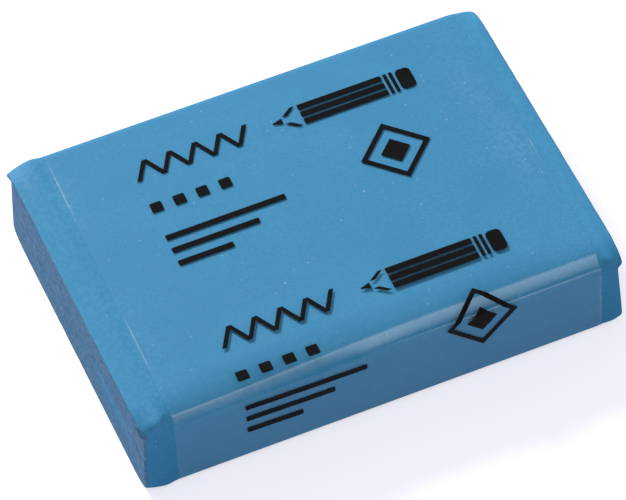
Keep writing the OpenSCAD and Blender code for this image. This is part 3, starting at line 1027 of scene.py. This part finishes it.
@dataclass
class FilmBand:
    """The clear film, cut flat and wrapped once round the block with a lap underneath."""

    path: FilmPath
    columns: int = 100
    rows: int = 320
    row_samples: int = 4000
    bend_rows: float = 6.0
    bend_margin: float = 0.15
    ramp_rows: float = 3.0
    # Distances from a cut side of the columns beside it
    side_columns: Numbers = (0.0, 0.05, 0.1, 0.2, 0.35)
    side_strip: float = 0.6
    edge_fade: float = 0.17
    edge_wear: float = 0.12
    # Side, y, reach and strength of each stretch of a cut side that is made pale, by wear and a
    # painted glint
    worn_and_glint_spots: Rows = ((-1, 10.3, 3.4, 1.0), (-1, -7.0, 2.9, 1.0), (1, -1.6, 1.4, 0.9),
                        (1, -19.8, 5.0, 0.7))
    # Painted highlight along the front bend: where it ends at the left and the right, how it
    # rises and fades, and its extra strength at the left.
    highlight_left: float = 0.93
    highlight_right: float = 0.71
    highlight_lead: float = 0.02
    highlight_rise: float = 0.12
    highlight_start: float = 0.1
    highlight_power: float = 0.6
    highlight_gain: float = 1.5
    highlight_gain_end: float = 0.4
    # Painted glint along the crease below the front bend: its place, width, strength at the left
    # and growth to the right.
    crease_back: float = 0.17
    crease_width: float = 0.12
    crease_left: float = 0.12
    crease_start: float = 0.3
    crease_growth: float = 0.5
    # Painted shade: a band of the bend between the highlight and the crease glint, where the
    # film's reflection is hidden.
    dark_band_share: float = 0.8
    dark_band_fade: float = 0.1
    front_lead: float = 0.15
    front_fade: float = 0.2
    flat_angle: float = 50.0

    @property
    def flat_size(self) -> tuple[float, float]:
        """Width and length of the film as it is cut."""
        return (self.path.right - self.path.left,
                self.path.round_length + self.path.lap_width)

    @property
    def row_places(self) -> Array:
        """Distances along the wrap of the rows from the outer end, closest at the bends."""
        path = self.path
        fine = np.linspace(path.outer_end - self.flat_size[1], path.outer_end,
                           self.row_samples)
        turned = np.mod(fine, path.round_length)
        gap = np.min(np.abs(turned[:, None] - path.bend_places), axis=1)
        ramp = np.abs(fine - (path.lap_start - path.lap_ramp / 2))
        front = (fine > path.width / 2 - path.bend_right) & (
            fine < path.width / 2 + path.bend_drop)
        density = (1.0 + self.bend_rows * ((gap < self.bend_margin) | front)
                   + self.ramp_rows * (ramp < path.lap_ramp))
        total = np.concatenate(([0.0], np.cumsum((density[1:] + density[:-1]) / 2)))
        return np.interp(np.linspace(total[-1], 0, self.rows + 1), total, fine)

    @property
    def column_places(self) -> Array:
        """Places of the columns from left to right, closest beside the cut sides."""
        beside, left, right = np.array(self.side_columns), self.path.left, self.path.right
        middle = np.linspace(left + self.side_strip, right - self.side_strip,
                             self.columns + 1 - 2 * len(beside))
        return np.concatenate((left + beside, middle, right - beside[::-1]))

    def side_wear_and_glints(self, flat: Array) -> Array:
        """Share of wear and of painted glints at the film's cut sides, which turns them pale in
        places.

        Args:
            flat: Places on the flat sheet.

        Returns:
            The share at each place, from 0 to 1.
        """
        wear = np.full(len(flat), self.edge_wear)
        for side, y, reach, strength in self.worn_and_glint_spots:
            spot = strength * bell(flat[:, 1] - y, reach, 4)
            wear = np.where(side * flat[:, 0] > 0, np.maximum(wear, spot), wear)
        from_side = np.minimum(flat[:, 0] - self.path.left, self.path.right - flat[:, 0])
        return wear * smooth(1 - from_side / self.edge_fade)

    def masks(self, flat: Array) -> dict[str, Array]:
        """Where the film is worn, and where its painted glints, highlight, front reflection and
        dark band lie.

        Args:
            flat: Places on the flat sheet.

        Returns:
            For each mask its value at each place.
        """
        path, way = self.path, -flat[:, 1]
        share = path.share(flat[:, 0])
        start, end = path.bend_span(share)
        into = (way - start) / (end - start)
        # Painted highlight along the front bend: it rises where the bend starts, fades before
        # the crease and is stronger at the left end.
        highlight_end = mix(self.highlight_left, self.highlight_right, smooth(share / path.bend_full))
        fading = np.clip((highlight_end - into) / (highlight_end - self.highlight_start),
                         0, 1) ** self.highlight_power
        highlight = smooth((into + self.highlight_lead) / self.highlight_rise) * fading
        # Painted glint along the crease below the front bend.
        crease = bell(way - end + self.crease_back, self.crease_width) * mix(
            self.crease_left, 1.0, smooth((share - self.crease_start) / self.crease_growth))
        # Painted shade: the film's reflection is hidden across the bend between the highlight
        # and the crease glint.
        painted_dark_band = (smooth(into / self.dark_band_fade) * smooth((1 - into) / self.dark_band_fade)
                * (1 - highlight) * (1 - crease))
        # Painted reflection on the film's front face, below the bend.
        below, above = way - end + self.front_lead, path.width / 2 + path.height - way
        return {"side_edge": self.side_wear_and_glints(flat),
                "bend": highlight * mix(self.highlight_gain, 1.0, smooth(share / self.highlight_gain_end)),
                "crease": crease,
                "painted_dark_band": self.dark_band_share * painted_dark_band,
                "front": smooth(below / self.front_fade) * smooth(above)}

    def build(self, material: Material) -> Thing:
        """Makes the band.

        Args:
            material: Finish of the film.

        Returns:
            The finished piece.
        """
        path = self.path
        film = added(bpy.ops.mesh.primitive_grid_add, "clear_film_band", size=2 * MM,
                     x_subdivisions=self.columns, y_subdivisions=self.rows)
        places = points_of(film)
        column, row = (np.rint((places[:, i] + 1) / 2 * count).astype(int)
                       for i, count in enumerate((self.columns, self.rows)))
        places[:, 0] = self.column_places[column]
        places[:, 1] = -self.row_places[row]
        set_points(film, places)
        thicken(film, path.thickness, -1)
        flat = points_of(film)
        on_lap = smooth((path.lap_ramp - flat[:, 1] - path.lap_start) / path.lap_ramp)
        set_points(film, path.wrapped(flat, on_lap * path.thickness))
        for name, values in self.masks(flat).items():
            set_mask(film, name, values)
        bpy.ops.object.shade_smooth_by_angle(angle=math.radians(self.flat_angle))
        return seat_piece(film, "film_band", material)


# ---- print


@dataclass
class PrintLayer:
    """The black figures printed on the film, drawn flat as one row, copied and wrapped.

    Places in a row are x along the block and y back from the row's upper line.
    """

    path: FilmPath
    row_count: int = 4
    row_start: float = 9.7
    width: float = 25.0
    line_gap: float = 2.6
    ink_gap: float = 0.015
    ink: float = 0.02
    line: float = 0.42
    pencil_length: float = 12.6
    pencil_width: float = 2.2
    diamond_reach: float = 3.1
    diamond_core: float = 0.42
    diamond_line: float = 0.35
    zigzag_length: float = 10.0
    zigzag_height: float = 2.0
    strokes: int = 9
    squares: int = 4
    rules: int = 3
    rule_length: float = 10.5
    rule_step: float = 0.27
    square_ease: float = 0.12
    rule_ease: float = 0.08
    tip_ease: float = 0.03
    tip_flat: float = 0.04
    column_pitch: float = 1.5
    flat_angle: float = 40.0
    # Shares of the pencil's width
    cone_share: float = 1.15
    cap_share: float = 0.6
    cap_ease: float = 0.2
    side_reach: float = 0.18
    tip_reach: float = 0.14
    # Share of a facet's width
    facet_ease: float = 0.18
    # Shares of the cone's length
    side_start: float = 0.38
    tip_share: float = 0.34
    # Shares of the line's width
    ferrule_share: float = 0.7
    side_ends: Numbers = (1.2, 1.4)
    ring_share: float = 1.4
    square_share: float = 2.4
    rule_share: float = 1.3
    rule_pitch: float = 3.4
    # The figures that are drawn so far
    parts: list[Thing] = field(default_factory=list)

    def quad(self, *corners: tuple[float, float]) -> Thing:
        """Adds a flat shape with four corners.

        Args:
            *corners: Lower left, lower right, upper left and upper right corner.

        Returns:
            The shape.
        """
        shape = added(bpy.ops.mesh.primitive_plane_add, "printed_part", size=MM)
        set_points(shape, np.array([(*corner, 0.0) for corner in corners]))
        self.parts.append(shape)
        return shape

    def plate(self, x0: float, x1: float, y: float, height: float) -> Thing:
        """Adds a flat oblong, given its two ends, its middle line and its height."""
        low, high = y - height / 2, y + height / 2
        return self.quad((x0, low), (x1, low), (x0, high), (x1, high))

    def ease_corners(self, shape: Thing, radius: float) -> None:
        """Rounds the corners of a flat shape."""
        in_edit_mode(shape, partial(bpy.ops.mesh.bevel, offset=radius * MM, segments=4,
                                    affect="VERTICES"))

    def pencil(self, x: float, y: float) -> None:
        """Draws a pencil that lies along the block with its point to the left.

        Args:
            x: Place of its point.
            y: Its middle line.
        """
        w, gap = self.pencil_width, self.line / 2
        facet = (w - 2 * gap) / 3
        cone, cap = w * self.cone_share, w * self.cap_share
        ferrule = self.line * self.ferrule_share
        end = x + self.pencil_length
        body_end = end - cap - 2 * ferrule - 3 * gap
        for k in (-1, 0, 1):
            bar = self.plate(x + cone, body_end, y + k * (facet + gap), facet)
            self.ease_corners(bar, facet * self.facet_ease)
        for k in (0, 1):
            start = body_end + gap + k * (ferrule + gap)
            self.plate(start, start + ferrule, y, w)
        self.ease_corners(self.plate(end - cap, end, y, w), w * self.cap_ease)
        for k in (-1, 1):
            near, far = y + k * w / 2, y + k * w * self.side_reach
            near_x, far_x = x + cone, x + cone * self.side_start
            far_line, near_line = (self.line * share for share in self.side_ends)
            far_side = ((far_x, far), (far_x + far_line, far))
            near_side = ((near_x - near_line, near), (near_x - gap, near))
            self.quad(*(far_side + near_side if k > 0 else near_side + far_side))
        tip_x, tip, flat = x + cone * self.tip_share, w * self.tip_reach, self.tip_flat
        self.ease_corners(self.quad((x, y - flat), (tip_x, y - tip), (x, y + flat),
                                    (tip_x, y + tip)), self.tip_ease)

    def zigzag(self, x: float, y: float) -> None:
        """Draws a zigzag as one line.

        Args:
            x: Its left end.
            y: Its middle line.
        """
        lean, half = self.zigzag_length / self.strokes, self.zigzag_height / 2
        low, high = y - half, y + half
        first = self.quad((x, low), (x + self.line, low), (x + lean, high),
                          (x + self.line + lean, high))
        mesh = first.data
        for part in (*mesh.edges, *mesh.polygons):
            part.select = False
        for vertex in mesh.vertices:
            vertex.select = vertex.co.y > y * MM

        def draw_on() -> None:
            """Draws the next strokes out of the last one's end."""
            bpy.ops.mesh.select_mode(type="EDGE")
            for k in range(1, self.strokes):
                step = (lean * MM, (-1) ** k * self.zigzag_height * MM, 0.0)
                bpy.ops.mesh.extrude_region_move(TRANSFORM_OT_translate={"value": step})

        in_edit_mode(first, draw_on, whole=False)

    def diamond(self, x: float, y: float) -> None:
        """Draws an open diamond round a solid one.

        Args:
            x: Its middle along the block.
            y: Its middle line.
        """
        ring_width = self.line * self.ring_share / math.sqrt(2)

        def leave_rim() -> None:
            """Leaves the rim of the diamond."""
            bpy.ops.mesh.inset(thickness=ring_width * MM, depth=0)
            bpy.ops.mesh.delete(type="FACE")

        for share in (1.0, self.diamond_core):
            shape = added(bpy.ops.mesh.primitive_circle_add, "printed_part", vertices=4,
                          radius=self.diamond_reach * share * MM, fill_type="NGON")
            if share == 1.0:
                in_edit_mode(shape, leave_rim)
            set_points(shape, points_of(shape) + (x, y, 0))
            self.parts.append(shape)

    def one_row(self) -> Thing:
        """Draws one row of figures.

        Returns:
            The row as one flat piece.
        """
        line, gap = self.line, self.line_gap
        left = (self.path.left + self.path.right) / 2 - self.width / 2
        pencil_x = left + self.width - self.pencil_length
        square, rule_width = line * self.square_share, line * self.rule_share
        square_line = -(self.zigzag_height / 2 + gap + square / 2)
        rule_line = square_line - square / 2 - gap - rule_width / 2
        self.zigzag(left, 0.0)
        for k in range(self.squares):
            start = left + k * square * 2
            self.ease_corners(self.plate(start, start + square, square_line, square),
                              self.square_ease)
        for k in range(self.rules):
            rule = self.plate(left, left + self.rule_length * (1 - self.rule_step * k),
                              rule_line - k * line * self.rule_pitch, rule_width)
            self.ease_corners(rule, self.rule_ease)
        self.pencil(pencil_x, 0.0)
        self.diamond(pencil_x + self.pencil_length * (1 - self.diamond_line),
                     -(self.pencil_width / 2 + gap + self.diamond_reach))
        return joined(self.parts)

    def cut_up(self) -> None:
        """Divides the figures where the film bends and along the block, and turns them up."""
        path = self.path
        bends = np.concatenate((path.bend_places, path.bend_places - path.round_length))
        columns = np.arange(math.ceil(path.left), path.right, self.column_pitch)
        bpy.ops.mesh.select_mode(type="FACE")
        for co, normal in ([((0, -place * MM, 0), (0, 1, 0)) for place in bends]
                           + [((place * MM, 0, 0), (1, 0, 0)) for place in columns]):
            bpy.ops.mesh.select_all(action="SELECT")
            bpy.ops.mesh.bisect(plane_co=co, plane_no=normal)
        bpy.ops.mesh.select_all(action="SELECT")
        bpy.ops.mesh.normals_make_consistent(inside=False)

    def build(self, material: Material) -> Thing:
        """Makes the print.

        Args:
            material: Finish of the ink.

        Returns:
            The finished piece.
        """
        path = self.path
        pattern = self.one_row()
        pitch = path.round_length / self.row_count
        rows = []
        for i in range(-1, self.row_count - 1):
            row = bpy.data.objects.new(f"printed_row_{i + 2}", pattern.data.copy())
            bpy.context.collection.objects.link(row)
            row.data.transform(Matrix.Translation((0, (self.row_start - i * pitch) * MM, 0)))
            rows.append(row)
        bpy.data.objects.remove(pattern)
        layer = joined(rows)
        layer.name = layer.data.name = "printed_figures"
        in_edit_mode(layer, self.cut_up)
        for polygon in layer.data.polygons:
            polygon.select = polygon.normal.z < 0
        if any(polygon.select for polygon in layer.data.polygons):
            in_edit_mode(layer, bpy.ops.mesh.flip_normals, whole=False)
        thicken(layer, self.ink, 1)
        flat = points_of(layer)
        set_points(layer, path.wrapped(flat, self.ink_gap))
        bpy.ops.object.shade_smooth_by_angle(angle=math.radians(self.flat_angle))
        return seat_piece(layer, "film_print", material)


# ---- studio


def direction(azimuth: float, elevation: float) -> Vector:
    """Direction from the block, turned from its front and lifted by angles in degrees."""
    turn, lift = math.radians(azimuth), math.radians(elevation)
    return Vector((math.sin(turn) * math.cos(lift), -math.cos(turn) * math.cos(lift),
                   math.sin(lift)))


@dataclass(frozen=True)
class SoftLamp:
    """A lamp that lights the block from one side, in degrees, metres and watts."""

    name: str
    azimuth: float
    elevation: float
    distance: float
    width: float
    depth: float
    power: float

    def place(self, target: Vector) -> None:
        """Sets up the lamp.

        Args:
            target: Point at which it aims.
        """
        light = bpy.data.lights.new(self.name, "AREA")
        light.shape = "RECTANGLE"
        light.size, light.size_y = self.width, self.depth
        light.energy = self.power
        away = direction(self.azimuth, self.elevation)
        lamp = bpy.data.objects.new(self.name, light)
        lamp.location = target + away * self.distance
        lamp.rotation_euler = away.to_track_quat("Z", "Y").to_euler()
        bpy.context.collection.objects.link(lamp)


@dataclass
class Studio:
    """White floor, soft lamps and the camera, in degrees and metres."""

    fill: float = 0.42
    white: Colour = (1.0, 1.0, 1.0)
    floor_tone: Colour = (0.58, 0.56, 0.72)
    floor_lift: float = 0.64
    floor_size: float = 6.0
    key: SoftLamp = SoftLamp("key_light", 196.0, 37.0, 0.6, 0.12, 0.12, 3.0)
    softbox: SoftLamp = SoftLamp("front_softbox", 18.0, 36.0, 0.7, 0.16, 0.11, 0.28)
    azimuth: float = -19.692
    elevation: float = 50.914
    roll: float = -4.169
    distance: float = 0.42542
    lens: float = 298.73
    sensor: float = 36.0
    middle_height: float = 0.00425
    aim_drop: float = 0.000521

    def white_out(self, sheet: NodeSheet) -> Socket:
        """Socket that is 1 for the camera, glossy and transmission rays, which see white."""
        rays = [sheet.add("LightPath").outputs[f"Is {kind} Ray"]
                for kind in ("Camera", "Glossy", "Transmission")]
        return sheet.math("MAXIMUM", sheet.math("MAXIMUM", *rays[:2]), rays[2])

    def build_floor(self) -> None:
        """Lays the floor, which stays white and keeps the shadow."""
        floor = added(bpy.ops.mesh.primitive_plane_add, "studio_floor", size=self.floor_size)
        material, sheet, shader = new_material("white_floor")
        lift = sheet.math("MULTIPLY", self.white_out(sheet), self.floor_lift)
        sheet.fill(shader, {"Base Color": self.floor_tone, "Roughness": 0.9,
                            "Specular IOR Level": 0.0, "Emission Color": self.white,
                            "Emission Strength": lift})
        floor.data.materials.append(material)

    def build_world(self) -> None:
        """Sets the even fill light and the white behind everything."""
        world = bpy.data.worlds.new("white_surround")
        world.use_nodes = True
        bpy.context.scene.world = world
        sheet = NodeSheet(world.node_tree)
        strength = sheet.spread(self.white_out(sheet), Ramp(0.0, 1.0, self.fill, 1.0))
        sheet.fill(world.node_tree.nodes["Background"],
                   {"Color": self.white, "Strength": strength})

    def build_camera(self) -> None:
        """Sets the camera."""
        away = direction(self.azimuth, self.elevation)
        turn = away.to_track_quat("Z", "Y") @ Quaternion((0, 0, 1), math.radians(self.roll))
        camera = bpy.data.cameras.new("camera")
        camera.lens, camera.sensor_width = self.lens, self.sensor
        camera.sensor_fit = "HORIZONTAL"
        camera.clip_start, camera.clip_end = 0.01, 20.0
        rig = bpy.data.objects.new("camera", camera)
        rig.location = away * self.distance + turn @ Vector((0, -self.aim_drop, 0))
        rig.location.z += self.middle_height
        rig.rotation_euler = turn.to_euler()
        bpy.context.collection.objects.link(rig)
        bpy.context.scene.camera = rig

    def build(self) -> None:
        """Sets up the whole studio."""
        self.build_floor()
        self.build_world()
        for lamp in (self.key, self.softbox):
            lamp.place(Vector((0.0, 0.0, self.middle_height)))
        self.build_camera()
        bpy.context.scene.view_settings.view_transform = "Standard"
        LOG.info("studio: fill %.2f, two lamps, lens %.0f mm", self.fill, self.lens)


def main() -> None:
    """Builds the pieces in order, dresses them and sets up the studio."""
    logging.basicConfig(level=logging.INFO, format="%(name)s %(message)s")
    low, high = (np.array(corner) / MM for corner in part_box("putty_block"))
    path = FilmPath(*(float(v) for v in high - low))
    shelf = EffectShelf()
    PuttyBlock(path).build(PuttyFinish().build(shelf))
    band = FilmBand(path)
    film = band.build(FilmFinish().build(shelf))
    tuple(v * MM for v in band.flat_size)
    PrintLayer(path).build(InkFinish().build(shelf))
    LOG.info("film cut to %.2f by %.2f mm", *band.flat_size)
    Studio().build()


if __name__ == "__main__":
    main()
